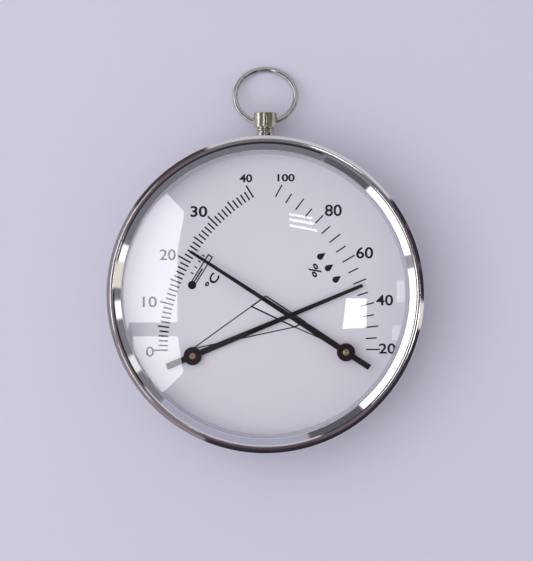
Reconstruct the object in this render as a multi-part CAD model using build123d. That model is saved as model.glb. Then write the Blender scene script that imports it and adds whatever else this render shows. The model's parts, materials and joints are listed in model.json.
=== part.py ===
from build123d import *
import os
from math import asin, atan2, cos, degrees, hypot, radians, sin, sqrt

# Round thermometer and hygrometer with a hanging ring, in millimetres.
# It lies on its back: the back face is z = 0 and the dial looks towards +Z.
# +Y points to 12 o'clock, where the neck and ring are, and +X to 3 o'clock.

# Case cup
case_radius = 49.2
case_wall = 0.8
case_corner = 3.0

# Stack from the case floor to the front, each piece resting on the one before
back_clearance = 0.8
dial_thickness = 0.8
crystal_headroom = 0.1
crystal_thickness = 2.0
gasket_thickness = 0.6

# Bezel
bezel_fit = 0.05
bezel_skirt_wall = 0.75
bezel_skirt_length = 6.5
bezel_pocket_depth = 1.3
rim_rounding = 1.3
bead_width = 1.2
bead_rounding = 0.25
step_width = 0.3
step_depth = 0.35
funnel_width = 1.9
funnel_rise = 1.5
lip_thickness = 0.8

# Crystal and the rings that hold it
crystal_clearance = 0.2
crystal_seat_width = 1.4
crystal_dome = 2.5
reveal_foot_width = 2.1
dial_clearance = 0.2
support_clearance = 0.5
support_wall = 0.8

# Neck, with its threaded stud, washer and nut
neck_radius = 3.75
neck_body_length = 4.8
neck_chamfer = 0.35
neck_undercut = 0.3
neck_undercut_radius = 2.5
neck_bead_length = 0.9
neck_bead_radius = 2.9
neck_bead_rounding = 0.35
neck_groove = 0.4
neck_groove_radius = 2.3
neck_foot_length = 2.8
neck_foot_radius = 2.8
stud_radius = 1.5
stud_projection = 0.3
stud_clearance = 0.05
washer_radius = 3.2
washer_headroom = 0.2
washer_thickness = 0.5
nut_across_flats = 5.5
nut_thickness = 1.8

# Hanging ring of bent wire, through the cross hole of the neck
ring_radius = 9.8
ring_wire = 1.6
ring_joint_gap = 0.15
ring_joint_angle = 135.0
eye_radius = 1.35
eye_from_top = 3.0
ring_offset = 0.38

# Places of the two spindles, by the gap from each coil to the support ring
thermo_wall_gap = 0.6
thermo_hub_angle = -35.665
hygro_wall_gap = 1.7
hygro_hub_angle = -139.686

# Spindles and their bearings
spindle_radius = 1.0
pivot_radius = 0.5
running_clearance = 0.05
shoulder_radius = 1.6
shoulder_height = 0.6
end_play = 0.15
tip_projection = 0.3
tip_chamfer = 0.2
tip_dimple_radius = 0.5
tip_dimple_depth = 0.4
dial_bush_radius = 1.8
dial_bush_flange_radius = 3.0
dial_bush_flange = 0.6

# Movement plate on its pillars
plate_thickness = 1.0
plate_bar_width = 9.0
plate_arm_width = 5.5
plate_boss_radius = 6.5
pillar_radius = 1.6
pillar_clearance = 2.0
pillar_angle = 18.2
screw_radius = 0.8
screw_clearance = 0.05
screw_depth = 3.0
screw_head_radius = 1.5
screw_head_height = 1.0
screw_slot_width = 0.4
screw_slot_depth = 0.45
plate_bush_radius = 1.6
plate_bush_hub_radius = 2.4
plate_bush_flange_radius = 3.2
plate_bush_flange = 0.5
plate_bush_floor = 0.35

# Calibration levers, each turned through an arc slot in the case back
lever_thickness = 0.6
lever_hub_radius = 4.6
lever_arm_width = 3.0
lever_pad_radius = 2.0
lever_hole_radius = 0.8
lever_reach = 12.8
thermo_lever_angle = 40.0
thermo_lever_low = -6.0
thermo_lever_high = 6.0
hygro_lever_angle = 140.0
hygro_lever_low = 0.0
hygro_lever_high = 10.0
case_slot_width = 3.4
anchor_radius = 0.9
anchor_rivet_radius = 0.55
anchor_top = 0.4

# Spiral coils on their collets
collet_radius = 2.4
collet_overhang = 0.3
collet_headroom = 1.15
coil_lift = 1.0
coil_outer_radius = 12.4
coil_tail = 2.2
coil_seat_gap = 0.03
bimetal_thickness = 0.45
bimetal_width = 3.0
bimetal_turns = 4
bimetal_end_angle = 70.0
laminate_thickness = 0.3
laminate_width = 4.0
laminate_turns = 5
laminate_end_angle = 110.0

# Hands, as directions from +X, with their bosses
hand_thickness = 0.35
hand_eye_radius = 2.4
hand_spigot_radius = 1.5
hand_spigot_length = 0.5
boss_radius = 2.9
boss_height = 0.75
boss_rounding = 0.2
hygro_hand_height = 1.1
hands_gap = 0.6
tail_length = 8.9
thermo_direction = 147.1
thermo_tip_margin = 7.5
thermo_root_width = 1.85
thermo_tip_width = 0.95
hygro_direction = 22.6
hygro_tip_margin = 4.7
hygro_root_width = 1.95
hygro_tip_width = 1.05

# Vent slots in the case back
vent_count = 9
vent_pitch = 5.0
vent_width = 1.8
vent_length = 15.0
vent_y = 18.0

# Heights of the movements, from the case floor up to the dial
floor_z = case_wall
plate_under = floor_z + back_clearance + screw_head_height
plate_top = plate_under + plate_thickness
lever_under = plate_top + running_clearance
lever_top = lever_under + lever_thickness
flange_under = lever_top + running_clearance
flange_top = flange_under + plate_bush_flange
pivot_end = plate_under + plate_bush_floor + end_play
spindle_foot = flange_top + running_clearance
coil_under = flange_top + coil_lift
collets_top = coil_under + max(bimetal_width, laminate_width) + collet_overhang
shoulder_top = collets_top + collet_headroom + shoulder_height
dial_under = shoulder_top + end_play + dial_bush_flange
pillar_length = dial_under - plate_top
neck_height = dial_under - support_wall - washer_headroom - washer_radius

# Heights of the hands, the crystal and the bezel over the dial
dial_top = dial_under + dial_thickness
hygro_hand_under = dial_top + hygro_hand_height
hygro_tip = hygro_hand_under + hand_thickness + boss_height + tip_projection
thermo_hand_under = hygro_tip + hands_gap
thermo_tip = thermo_hand_under + hand_thickness + boss_height + tip_projection
reveal_top = thermo_tip + crystal_headroom
crystal_edge_top = reveal_top + crystal_thickness
lip_under = crystal_edge_top + gasket_thickness
lip_top = lip_under + lip_thickness
front_z = lip_top + funnel_rise + step_depth
case_rim = lip_under - bezel_pocket_depth

# Radii and places that follow from the sizes above
case_inner_radius = case_radius - case_wall
skirt_inner_radius = case_radius + bezel_fit
bezel_radius = skirt_inner_radius + bezel_skirt_wall
bead_inner_radius = bezel_radius - rim_rounding - bead_width
funnel_outer_radius = bead_inner_radius - step_width
lip_radius = funnel_outer_radius - funnel_width
crystal_radius = lip_radius + crystal_seat_width
pocket_radius = crystal_radius + crystal_clearance
dial_radius = case_inner_radius - dial_clearance
neck_length = (
    neck_foot_length + neck_groove + neck_bead_length + neck_undercut + neck_body_length
)
eye_y = case_radius + neck_length - eye_from_top
ring_reach = 2 * ring_radius - ring_offset
ring_tilt = degrees(asin((neck_height - ring_wire / 2) / ring_reach))
washer_face_y = sqrt(case_inner_radius**2 - washer_radius**2)
nut_face_y = washer_face_y - washer_thickness
stud_end_y = nut_face_y - nut_thickness - stud_projection
support_radius = stud_end_y - support_clearance
support_inner_radius = support_radius - support_wall
reveal_inner_radius = crystal_radius - reveal_foot_width
pillar_distance = coil_outer_radius + pillar_clearance + pillar_radius

# Spindle places, and hands that stop short of the reveal ring across the dial
thermo_hub_radius = support_inner_radius - thermo_wall_gap - coil_outer_radius
thermo_x = thermo_hub_radius * cos(radians(thermo_hub_angle))
thermo_y = thermo_hub_radius * sin(radians(thermo_hub_angle))
hygro_hub_radius = support_inner_radius - hygro_wall_gap - coil_outer_radius
hygro_x = hygro_hub_radius * cos(radians(hygro_hub_angle))
hygro_y = hygro_hub_radius * sin(radians(hygro_hub_angle))
hubs = ((thermo_x, thermo_y), (hygro_x, hygro_y))
thermo_length = thermo_x + sqrt(reveal_inner_radius**2 - thermo_y**2) - thermo_tip_margin
hygro_length = sqrt(reveal_inner_radius**2 - hygro_y**2) - hygro_x - hygro_tip_margin


def turned(*points):
    """A solid turned about Z from a closed outline of (radius, z) points."""
    return revolve(Plane.XZ * make_face(Polyline(*points, close=True)), Axis.Z)


def ring(outer, inner, bottom, height):
    """A plain turned ring standing on a height."""
    return turned(
        (inner, bottom), (outer, bottom), (outer, bottom + height), (inner, bottom + height)
    )


def corner_rounded(face, point, radius):
    """The face with the corner nearest to a point rounded."""
    return fillet(face.vertices().sort_by_distance(Vector(*point))[0], radius)


def drilled(piece, places, z, radius, depth):
    """The piece with round holes through it at a height, deep enough to clear it."""
    for x, y in places:
        piece -= Pos(x, y, z) * Cylinder(radius, depth)
    return piece


def on_neck_axis(distance):
    """A place on the neck's axis, at a distance from the case centre, with +Z outwards."""
    return Pos(0, distance, neck_height) * Rot(-90, 0, 0)


def adjusting_slot(x, y, angle, low, high):
    """The opening in the case back under the travel of a lever's pad."""
    arc = CenterArc((x, y), lever_reach, angle + low, high - low)
    return Pos(0, 0, -case_wall) * extrude(SlotArc(arc, case_slot_width), 3 * case_wall)


def case_shell():
    inner_corner = case_corner - case_wall
    outline = make_face(
        Polyline(
            (0, 0), (case_radius, 0), (case_radius, case_rim), (case_inner_radius, case_rim),
            (case_inner_radius, floor_z), (0, floor_z), close=True,
        )
    )
    outline = corner_rounded(outline, (case_radius, 0), case_corner)
    outline = corner_rounded(outline, (case_inner_radius, floor_z), inner_corner)
    shell = revolve(Plane.XZ * outline, Axis.Z)
    shell -= adjusting_slot(
        thermo_x, thermo_y, thermo_lever_angle, thermo_lever_low, thermo_lever_high
    )
    shell -= adjusting_slot(
        hygro_x, hygro_y, hygro_lever_angle, hygro_lever_low, hygro_lever_high
    )
    for index in range(vent_count):
        x = (index - (vent_count - 1) / 2) * vent_pitch
        slot = extrude(SlotOverall(vent_length, vent_width, rotation=90), 3 * case_wall)
        shell -= Pos(x, vent_y, -case_wall) * slot
    stud_hole = Cylinder(stud_radius + stud_clearance, 4 * case_wall)
    return shell - on_neck_axis(case_radius) * stud_hole


def bezel():
    skirt_bottom = lip_under - bezel_skirt_length
    bead_outer = (bezel_radius, front_z)
    bead_inner = (bead_inner_radius, front_z)
    step = front_z - step_depth
    outline = make_face(
        Polyline(
            (skirt_inner_radius, skirt_bottom), (bezel_radius, skirt_bottom), bead_outer,
            bead_inner, (bead_inner_radius, step), (funnel_outer_radius, step),
            (lip_radius, lip_top), (lip_radius, lip_under), (pocket_radius, lip_under),
            (pocket_radius, case_rim), (skirt_inner_radius, case_rim), close=True,
        )
    )
    outline = corner_rounded(outline, bead_outer, rim_rounding)
    outline = corner_rounded(outline, bead_inner, bead_rounding)
    return revolve(Plane.XZ * outline, Axis.Z)


def crystal():
    inner_centre = (0, reveal_top + crystal_dome)
    outer_centre = (0, crystal_edge_top + crystal_dome)
    inner_arc = TangentArc(inner_centre, (lip_radius, reveal_top), tangent=(1, 0))
    outer_arc = TangentArc(outer_centre, (lip_radius, crystal_edge_top), tangent=(1, 0))
    rim = Polyline(
        (lip_radius, reveal_top), (crystal_radius, reveal_top),
        (crystal_radius, crystal_edge_top), (lip_radius, crystal_edge_top),
    )
    axis_line = Line(inner_centre, outer_centre)
    outline = make_face([*inner_arc.edges(), *rim.edges(), *outer_arc.edges(), axis_line.edge()])
    return revolve(Plane.XZ * outline, Axis.Z)


def crystal_gasket():
    return ring(crystal_radius, lip_radius, crystal_edge_top, gasket_thickness)


def reveal_ring():
    return turned(
        (reveal_inner_radius, dial_top), (crystal_radius, dial_top),
        (crystal_radius, reveal_top), (lip_radius, reveal_top),
    )


def dial_plate():
    plate = Pos(0, 0, dial_under) * extrude(Circle(dial_radius), dial_thickness)
    return drilled(plate, hubs, dial_under, dial_bush_radius, 4 * dial_thickness)


def dial_support_ring():
    flange_under_z = dial_under - support_wall
    return turned(
        (support_inner_radius, floor_z), (support_radius, floor_z),
        (support_radius, flange_under_z), (dial_radius, flange_under_z),
        (dial_radius, dial_under), (support_inner_radius, dial_under),
    )


def neck():
    foot_top = neck_foot_length
    groove_top = foot_top + neck_groove
    bead_top = groove_top + neck_bead_length
    body_foot = bead_top + neck_undercut
    body_edge = body_foot + neck_body_length
    stud_end = stud_end_y - case_radius
    outline = make_face(
        Polyline(
            (0, stud_end), (stud_radius, stud_end), (stud_radius, 0),
            (neck_foot_radius, 0), (neck_foot_radius, foot_top),
            (neck_groove_radius, foot_top), (neck_groove_radius, groove_top),
            (neck_bead_radius, groove_top), (neck_bead_radius, bead_top),
            (neck_undercut_radius, bead_top), (neck_undercut_radius, body_foot),
            (neck_radius, body_foot), (neck_radius, body_edge - neck_chamfer),
            (neck_radius - neck_chamfer, body_edge), (0, body_edge), close=True,
        )
    )
    outline = corner_rounded(outline, (neck_bead_radius, groove_top), neck_bead_rounding)
    outline = corner_rounded(outline, (neck_bead_radius, bead_top), neck_bead_rounding)
    body = on_neck_axis(case_radius) * revolve(Plane.XZ * outline, Axis.Z)
    eye = Pos(0, eye_y, neck_height) * Rot(0, 90, 0) * Cylinder(eye_radius, 4 * neck_radius)
    return body - eye


def neck_washer():
    blank = Cylinder(washer_radius, washer_thickness) - Cylinder(
        stud_radius + stud_clearance, 2 * washer_thickness
    )
    return on_neck_axis(washer_face_y - washer_thickness / 2) * blank


def neck_nut():
    hexagon = RegularPolygon(nut_across_flats / 2, 6, major_radius=False, rotation=30)
    blank = extrude(hexagon - Circle(stud_radius), -nut_thickness)
    return on_neck_axis(nut_face_y) * blank


def hanging_ring():
    gap_angle = degrees(ring_joint_gap / ring_radius)
    section = Plane.XZ * Pos(ring_radius, 0) * Circle(ring_wire / 2)
    wire = revolve(section, Axis.Z, 360 - gap_angle)
    wire = Rot(0, 0, ring_joint_angle + gap_angle / 2) * wire
    from_eye = Rot(-ring_tilt, 0, 0) * Pos(0, ring_radius - ring_offset, 0)
    return Pos(0, eye_y, neck_height) * from_eye * wire


def pillar_places():
    """The four pillars, below and above each spindle and leaning to the middle."""
    inward = pillar_distance * sin(radians(pillar_angle))
    up = pillar_distance * cos(radians(pillar_angle))
    return [
        (x + lean, y + rise)
        for (x, y), lean in zip(hubs, (-inward, inward))
        for rise in (-up, up)
    ]


def bar(start, end, width):
    """A flat bar with round ends between two places."""
    (x0, y0), (x1, y1) = start, end
    turn = degrees(atan2(y1 - y0, x1 - x0))
    slot = SlotCenterToCenter(hypot(x1 - x0, y1 - y0), width, rotation=turn)
    return Pos((x0 + x1) / 2, (y0 + y1) / 2) * slot


def movement_plate():
    outline = bar(*hubs, plate_bar_width)
    for x, y in hubs:
        outline += Pos(x, y) * Circle(plate_boss_radius)
    for index, place in enumerate(pillar_places()):
        outline += bar(hubs[index // 2], place, plate_arm_width)
    plate = Pos(0, 0, plate_under) * extrude(outline, plate_thickness)
    depth = 4 * plate_thickness
    plate = drilled(plate, hubs, plate_under, plate_bush_radius, depth)
    screw_hole = screw_radius + screw_clearance
    return drilled(plate, pillar_places(), plate_under, screw_hole, depth)


def movement_pillar():
    bore = screw_radius + screw_clearance
    depth = screw_depth + screw_clearance
    blank = Pos(0, 0, pillar_length / 2) * Cylinder(pillar_radius, pillar_length)
    return blank - Pos(0, 0, depth / 2) * Cylinder(bore, depth)


def movement_screw():
    """A cheese-head screw with its head under z = 0."""
    length = plate_thickness + screw_depth
    screw = turned(
        (0, length), (0, -screw_head_height), (screw_head_radius, -screw_head_height),
        (screw_head_radius, 0), (screw_radius, 0), (screw_radius, length),
    )
    slot = Box(3 * screw_head_radius, screw_slot_width, 2 * screw_slot_depth)
    return screw - Pos(0, 0, -screw_head_height) * slot


def group_at_pillars(piece, z):
    return Compound(children=[Pos(x, y, z) * piece for x, y in pillar_places()])


def plate_bush(x, y):
    pivot_bore = pivot_radius + running_clearance
    bore_floor = plate_under + plate_bush_floor
    return Pos(x, y, 0) * turned(
        (0, plate_under), (plate_bush_radius, plate_under), (plate_bush_radius, plate_top),
        (plate_bush_hub_radius, plate_top), (plate_bush_hub_radius, flange_under),
        (plate_bush_flange_radius, flange_under), (plate_bush_flange_radius, flange_top),
        (pivot_bore, flange_top), (pivot_bore, bore_floor), (0, bore_floor),
    )


def dial_bush(x, y):
    bore = spindle_radius + running_clearance
    flange_bottom = dial_under - dial_bush_flange
    return Pos(x, y, 0) * turned(
        (bore, flange_bottom), (dial_bush_flange_radius, flange_bottom),
        (dial_bush_flange_radius, dial_under), (dial_bush_radius, dial_under),
        (dial_bush_radius, dial_top), (bore, dial_top),
    )


def arbor(x, y, tip):
    """A spindle with its lower pivot, the shoulder under the dial and a dimpled tip."""
    shoulder_foot = shoulder_top - shoulder_height
    return Pos(x, y, 0) * turned(
        (0, pivot_end), (pivot_radius, pivot_end), (pivot_radius, spindle_foot),
        (spindle_radius, spindle_foot), (spindle_radius, shoulder_foot),
        (shoulder_radius, shoulder_foot), (shoulder_radius, shoulder_top),
        (spindle_radius, shoulder_top), (spindle_radius, tip - tip_chamfer),
        (spindle_radius - tip_chamfer, tip), (tip_dimple_radius, tip), (0, tip - tip_dimple_depth),
    )


def collet(x, y, width):
    height = width + 2 * collet_overhang
    return Pos(x, y, 0) * ring(collet_radius, spindle_radius, coil_under - collet_overhang, height)


def direction(angle):
    return Vector(cos(radians(angle)), sin(radians(angle)))


def spiral(strip):
    """The half turns of a coil's middle line, from the collet out, as (centre, radius).

    The centres alternate on a line through the spindle, so each half turn runs on
    from the one before it without a kink.
    """
    thickness, width, turns, end_angle, winding = strip
    start = collet_radius + thickness / 2 + coil_seat_gap
    shift = (coil_outer_radius - start) / (4 * turns)
    centre = direction(end_angle) * shift
    return [
        (centre if index % 2 else -centre, start + shift * (2 * index + 1))
        for index in range(2 * turns)
    ]


def anchor_place(strip):
    """Where a coil's straight tail passes through its anchor post, from the spindle."""
    end_angle, winding = strip[3:]
    tail = direction(end_angle + winding * 90) * (coil_tail - anchor_radius)
    return direction(end_angle) * coil_outer_radius + tail


def coil(x, y, strip):
    """A flat spiral strip wound from the collet out to its straight tail."""
    thickness, width, turns, end_angle, winding = strip
    along, outward = direction(end_angle + winding * 90), direction(end_angle)
    edges = []
    ends = []
    for side in (-thickness / 2, thickness / 2):
        for index, (centre, radius) in enumerate(spiral(strip)):
            from_angle = end_angle + 180 * (index % 2)
            edges.append(CenterArc(centre, radius + side, from_angle, winding * 180))
        inner = outward * (collet_radius + thickness / 2 + coil_seat_gap + side)
        outer = outward * (coil_outer_radius + side)
        edges.append(Line(outer, outer + along * coil_tail))
        ends.append((inner, outer + along * coil_tail))
    (inner_left, outer_left), (inner_right, outer_right) = ends
    edges += [Line(inner_left, inner_right), Line(outer_left, outer_right)]
    return Pos(x, y, coil_under) * extrude(make_face([line.edge() for line in edges]), width)


def regulator(x, y, pad_angle, strip):
    """A lever round the bush with an arm to the coil's anchor and one to the case slot."""
    anchor = anchor_place(strip)
    anchor_at = Pos(anchor.X, anchor.Y)
    pad_at = Rot(0, 0, pad_angle) * Pos(lever_reach, 0)
    outline = Circle(lever_hub_radius)
    outline += bar((0, 0), (anchor.X, anchor.Y), lever_arm_width)
    outline += bar((0, 0), (pad_at.position.X, pad_at.position.Y), lever_arm_width)
    outline += pad_at * Circle(lever_pad_radius)
    outline -= Circle(plate_bush_hub_radius + running_clearance)
    outline -= pad_at * Circle(lever_hole_radius)
    outline -= anchor_at * Circle(anchor_rivet_radius)
    return Pos(x, y, lever_under) * extrude(outline, lever_thickness)


def anchor_post(x, y, strip):
    """A post riveted in the lever, slotted for the coil's tail."""
    thickness, width = strip[:2]
    top = coil_under + width + anchor_top
    post = turned(
        (0, lever_under), (anchor_rivet_radius, lever_under), (anchor_rivet_radius, lever_top),
        (anchor_radius, lever_top), (anchor_radius, top), (0, top),
    )
    slot_foot = coil_under - coil_seat_gap
    slot = extrude(Rectangle(4 * anchor_radius, thickness + 2 * coil_seat_gap), 2 * width)
    post -= Pos(0, 0, slot_foot) * Rot(0, 0, strip[3] + 90) * slot
    return Pos(x, y, 0) * Pos(anchor_place(strip)) * post


def hand(x, y, under, direction, length, root_width, tip_width):
    """A flat tapered hand with a square tail and a round eye on the boss."""
    blade = make_face(
        Polyline(
            (-tail_length, -root_width / 2), (0, -root_width / 2), (length, -tip_width / 2),
            (length, tip_width / 2), (0, root_width / 2), (-tail_length, root_width / 2),
            close=True,
        )
    )
    blade += Circle(hand_eye_radius)
    blade -= Circle(hand_spigot_radius)
    return Pos(x, y, under) * Rot(0, 0, direction) * extrude(blade, hand_thickness)


def boss(x, y, under):
    """The turned boss whose spigot passes through the hand's eye."""
    blade_top = under + hand_thickness
    top = blade_top + boss_height
    outline = make_face(
        Polyline(
            (spindle_radius, under - hand_spigot_length),
            (hand_spigot_radius, under - hand_spigot_length), (hand_spigot_radius, blade_top),
            (boss_radius, blade_top), (boss_radius, top), (spindle_radius, top), close=True,
        )
    )
    outline = corner_rounded(outline, (boss_radius, top), boss_rounding)
    return Pos(x, y, 0) * revolve(Plane.XZ * outline, Axis.Z)


def movement(x, y, strip, lever_angle, tip):
    """The pieces of one system from its lower bearing up to the tip of its spindle."""
    return {
        "plate_bush": plate_bush(x, y),
        "dial_bush": dial_bush(x, y),
        "regulator": regulator(x, y, lever_angle, strip),
        "anchor_post": anchor_post(x, y, strip),
        "arbor": arbor(x, y, tip),
        "collet": collet(x, y, strip[1]),
    }


def thermometer():
    x, y = thermo_x, thermo_y
    strip = (bimetal_thickness, bimetal_width, bimetal_turns, bimetal_end_angle, 1)
    pieces = movement(x, y, strip, thermo_lever_angle, thermo_tip)
    pieces["pointer"] = hand(
        x, y, thermo_hand_under, thermo_direction, thermo_length, thermo_root_width,
        thermo_tip_width,
    )
    pieces["pointer_boss"] = boss(x, y, thermo_hand_under)
    nodes = {f"thermo_{name}": piece for name, piece in pieces.items()}
    nodes["bimetal_coil"] = coil(x, y, strip)
    return nodes


def hygrometer():
    x, y = hygro_x, hygro_y
    strip = (laminate_thickness, laminate_width, laminate_turns, laminate_end_angle, -1)
    pieces = movement(x, y, strip, hygro_lever_angle, hygro_tip)
    pieces["pointer"] = hand(
        x, y, hygro_hand_under, hygro_direction, hygro_length, hygro_root_width,
        hygro_tip_width,
    )
    pieces["pointer_boss"] = boss(x, y, hygro_hand_under)
    nodes = {f"hygro_{name}": piece for name, piece in pieces.items()}
    nodes["humidity_coil"] = coil(x, y, strip)
    return nodes


def instrument():
    nodes = {
        "case_shell": case_shell(),
        "bezel": bezel(),
        "crystal": crystal(),
        "crystal_gasket": crystal_gasket(),
        "reveal_ring": reveal_ring(),
        "dial_plate": dial_plate(),
        "dial_support_ring": dial_support_ring(),
        "neck": neck(),
        "neck_washer": neck_washer(),
        "neck_nut": neck_nut(),
        "hanging_ring": hanging_ring(),
        "movement_plate": movement_plate(),
        "movement_pillars": group_at_pillars(movement_pillar(), plate_top),
        "movement_screws": group_at_pillars(movement_screw(), plate_under),
    }
    return nodes | thermometer() | hygrometer()


os.makedirs("parts", exist_ok=True)
for name, shape in instrument().items():
    export_step(shape, f"parts/{name}.step")
print("ring tilt", round(ring_tilt, 3), "degrees, eye at y", round(eye_y, 3))
print("spindles at", [(round(x, 4), round(y, 4)) for x, y in hubs])
print("front of the bezel at z", round(front_z, 3), "bezel radius", round(bezel_radius, 3))
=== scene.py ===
import json
import math

import bmesh
import bpy
from mathutils import Matrix, Vector


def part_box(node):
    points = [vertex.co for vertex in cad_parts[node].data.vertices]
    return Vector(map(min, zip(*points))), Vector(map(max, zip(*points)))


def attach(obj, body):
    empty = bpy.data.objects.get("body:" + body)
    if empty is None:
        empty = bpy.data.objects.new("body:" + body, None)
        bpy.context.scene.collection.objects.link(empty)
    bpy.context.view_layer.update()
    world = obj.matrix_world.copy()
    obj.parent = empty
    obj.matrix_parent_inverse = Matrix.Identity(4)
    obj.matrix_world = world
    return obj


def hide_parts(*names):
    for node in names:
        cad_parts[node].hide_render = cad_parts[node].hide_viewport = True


bl_info = {
    "name": "Dial hygrometer",
    "version": (1, 0, 0),
    "blender": (4, 5, 0),
    "location": "View3D > Sidebar > Hygrometer",
    "description": "Builds a round chrome thermometer and hygrometer round its CAD frame",
    "category": "Add Mesh",
}

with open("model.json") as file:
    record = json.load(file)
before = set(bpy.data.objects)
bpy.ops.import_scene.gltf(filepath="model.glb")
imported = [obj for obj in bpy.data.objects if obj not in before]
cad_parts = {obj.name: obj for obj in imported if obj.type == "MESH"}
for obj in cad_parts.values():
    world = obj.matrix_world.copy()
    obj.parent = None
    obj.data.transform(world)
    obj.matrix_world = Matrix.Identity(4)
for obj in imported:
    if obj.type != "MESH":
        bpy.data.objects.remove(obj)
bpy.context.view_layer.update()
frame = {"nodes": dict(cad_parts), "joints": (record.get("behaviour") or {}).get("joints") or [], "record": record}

MM = 0.001
NEAR = 1e-6
DEGREES = 180 / math.pi

# Radius from which a turned piece is drawn together on its axis
POLE = 0.02 * MM

# Heights and places that the CAD frame gives
BEZEL_LOW, BEZEL_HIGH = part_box("bezel")
CRYSTAL_LOW, CRYSTAL_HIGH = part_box("crystal")
REVEAL_LOW, REVEAL_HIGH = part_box("reveal_ring")
DIAL_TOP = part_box("dial_plate")[1].z
NECK_LOW, NECK_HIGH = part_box("neck")
HINGES = {joint["name"]: Vector(joint["pos_m"]) for joint in frame["joints"]}
THERMO_HUB = HINGES["thermo_reading"]
HYGRO_HUB = HINGES["hygro_reading"]
RING_EYE = HINGES["ring_swing"]
SYSTEMS = (("thermo", THERMO_HUB), ("hygro", HYGRO_HUB))


def length(name, description, millimetres):
    return bpy.props.FloatProperty(
        name=name, description=description, default=millimetres * MM, unit="LENGTH", precision=5
    )


def angle(name, description, degrees):
    return bpy.props.FloatProperty(
        name=name, description=description, default=math.radians(degrees), unit="ROTATION"
    )


def colour(name, description, *rgb):
    return bpy.props.FloatVectorProperty(
        name=name, description=description, default=rgb, subtype="COLOR", min=0, max=1
    )


class BezelSizes(bpy.types.PropertyGroup):
    """The turned ring round the crystal and the ring under it."""

    slope_width: length("Slope width", "Width of the slope outside the front bead", 1.3)
    slope_start: angle("Slope start", "Steepness of the slope beside the bead", 9.5)
    slope_end: angle("Slope end", "Steepness of the slope at the outer edge", 26)
    edge_rounding: length("Edge rounding", "Radius of the outer edge", 0.2)
    bead_inner: length("Bead inner radius", "Radius where the bead meets the funnel", 47.7)
    bead_rounding: length("Bead rounding", "Width of the roll from the bead to the funnel", 0.45)
    lip_radius: length("Lip radius", "Inner radius of the lip over the crystal", 45.3)
    lip_rounding: length("Lip rounding", "Rounding of the lip's inner edge", 0.42)
    lip_top: length("Lip top", "Height of the lip's inner edge", 21.22)
    lip_under: length("Lip underside", "Height of the face that holds the crystal", 20.6)
    pocket_depth: length("Pocket depth", "Depth of the pocket that takes the crystal", 1.3)
    pocket_gap: length("Pocket gap", "Gap round the crystal in its pocket", 0.2)
    skirt_wall: length("Skirt wall", "Thickness of the skirt round the case", 0.75)


class CrystalSizes(bpy.types.PropertyGroup):
    """The domed glass."""

    seat_width: length("Seat width", "Width of the flat rim under the bezel's lip", 1.4)
    thickness: length("Thickness", "Thickness of the glass", 2.0)
    dome: length("Dome", "Rise of the glass from its rim to its middle", 2.5)


class DialSizes(bpy.types.PropertyGroup):
    """What is printed on the dial."""

    ink: length("Ink", "Height of the print over the dial", 0.02)
    thermo_radius: length("Temperature radius", "Inner radius of the temperature scale", 56.9)
    hygro_radius: length("Humidity radius", "Inner radius of the humidity scale", 55.2)
    thermo_stroke: length("Temperature stroke", "Width of a temperature mark", 0.52)
    hygro_stroke: length("Humidity stroke", "Width of a humidity mark", 0.43)
    fine_line: length("Fine line", "Width of the lines to the comfort field", 0.36)
    outline: length("Outline", "Width of the outline of the comfort field", 0.5)


class HandSizes(bpy.types.PropertyGroup):
    """The two hands, their bosses and their spindles."""

    tail: length("Tail", "Length of a hand's tail behind its spindle", 8.9)
    thermo_root: length("Temperature hand root", "Width of the temperature hand at its boss", 1.85)
    thermo_tip: length("Temperature hand tip", "Width of the temperature hand at its tip", 0.95)
    hygro_root: length("Humidity hand root", "Width of the humidity hand at its boss", 1.95)
    hygro_tip: length("Humidity hand tip", "Width of the humidity hand at its tip", 1.05)
    thermo_angle: angle("Temperature hand angle", "Direction of the temperature hand", 147.1)
    hygro_angle: angle("Humidity hand angle", "Direction of the humidity hand", 22.6)
    edge: length("Edge rounding", "Rounding along the edges of a hand", 0.06)
    boss: length("Boss radius", "Radius of the boss on a hand", 2.9)
    spindle: length("Spindle radius", "Radius of a spindle", 1.0)
    shoulder: length("Shoulder radius", "Radius of the shoulder under the dial", 1.6)
    pivot: length("Pivot radius", "Radius of the lower pivot", 0.5)
    dimple: length("Dimple radius", "Radius of the dimple in a spindle's end", 0.5)


class HangerSizes(bpy.types.PropertyGroup):
    """The turned neck and the bent wire ring."""

    case_radius: length("Case radius", "Distance from the axis to the neck's foot", 49.2)
    body: length("Body radius", "Radius of the neck's cylinder", 3.75)
    foot: length("Foot radius", "Radius of the neck's foot", 2.8)
    bead: length("Bead radius", "Radius of the neck's bead", 2.9)
    stud: length("Stud radius", "Radius of the stud inside the case", 1.5)
    eye: length("Eye radius", "Radius of the cross hole for the ring", 1.35)
    ring: length("Ring radius", "Radius of the ring's centre line", 9.8)
    wire: length("Wire radius", "Radius of the ring's wire", 0.8)
    offset: length("Ring offset", "How far the wire rests above the eye's axis", 0.38)
    joint_gap: length("Joint gap", "Gap where the wire's ends meet", 0.15)
    joint_angle: angle("Joint angle", "Where the wire's ends meet, seen from the front", 135)


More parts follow.
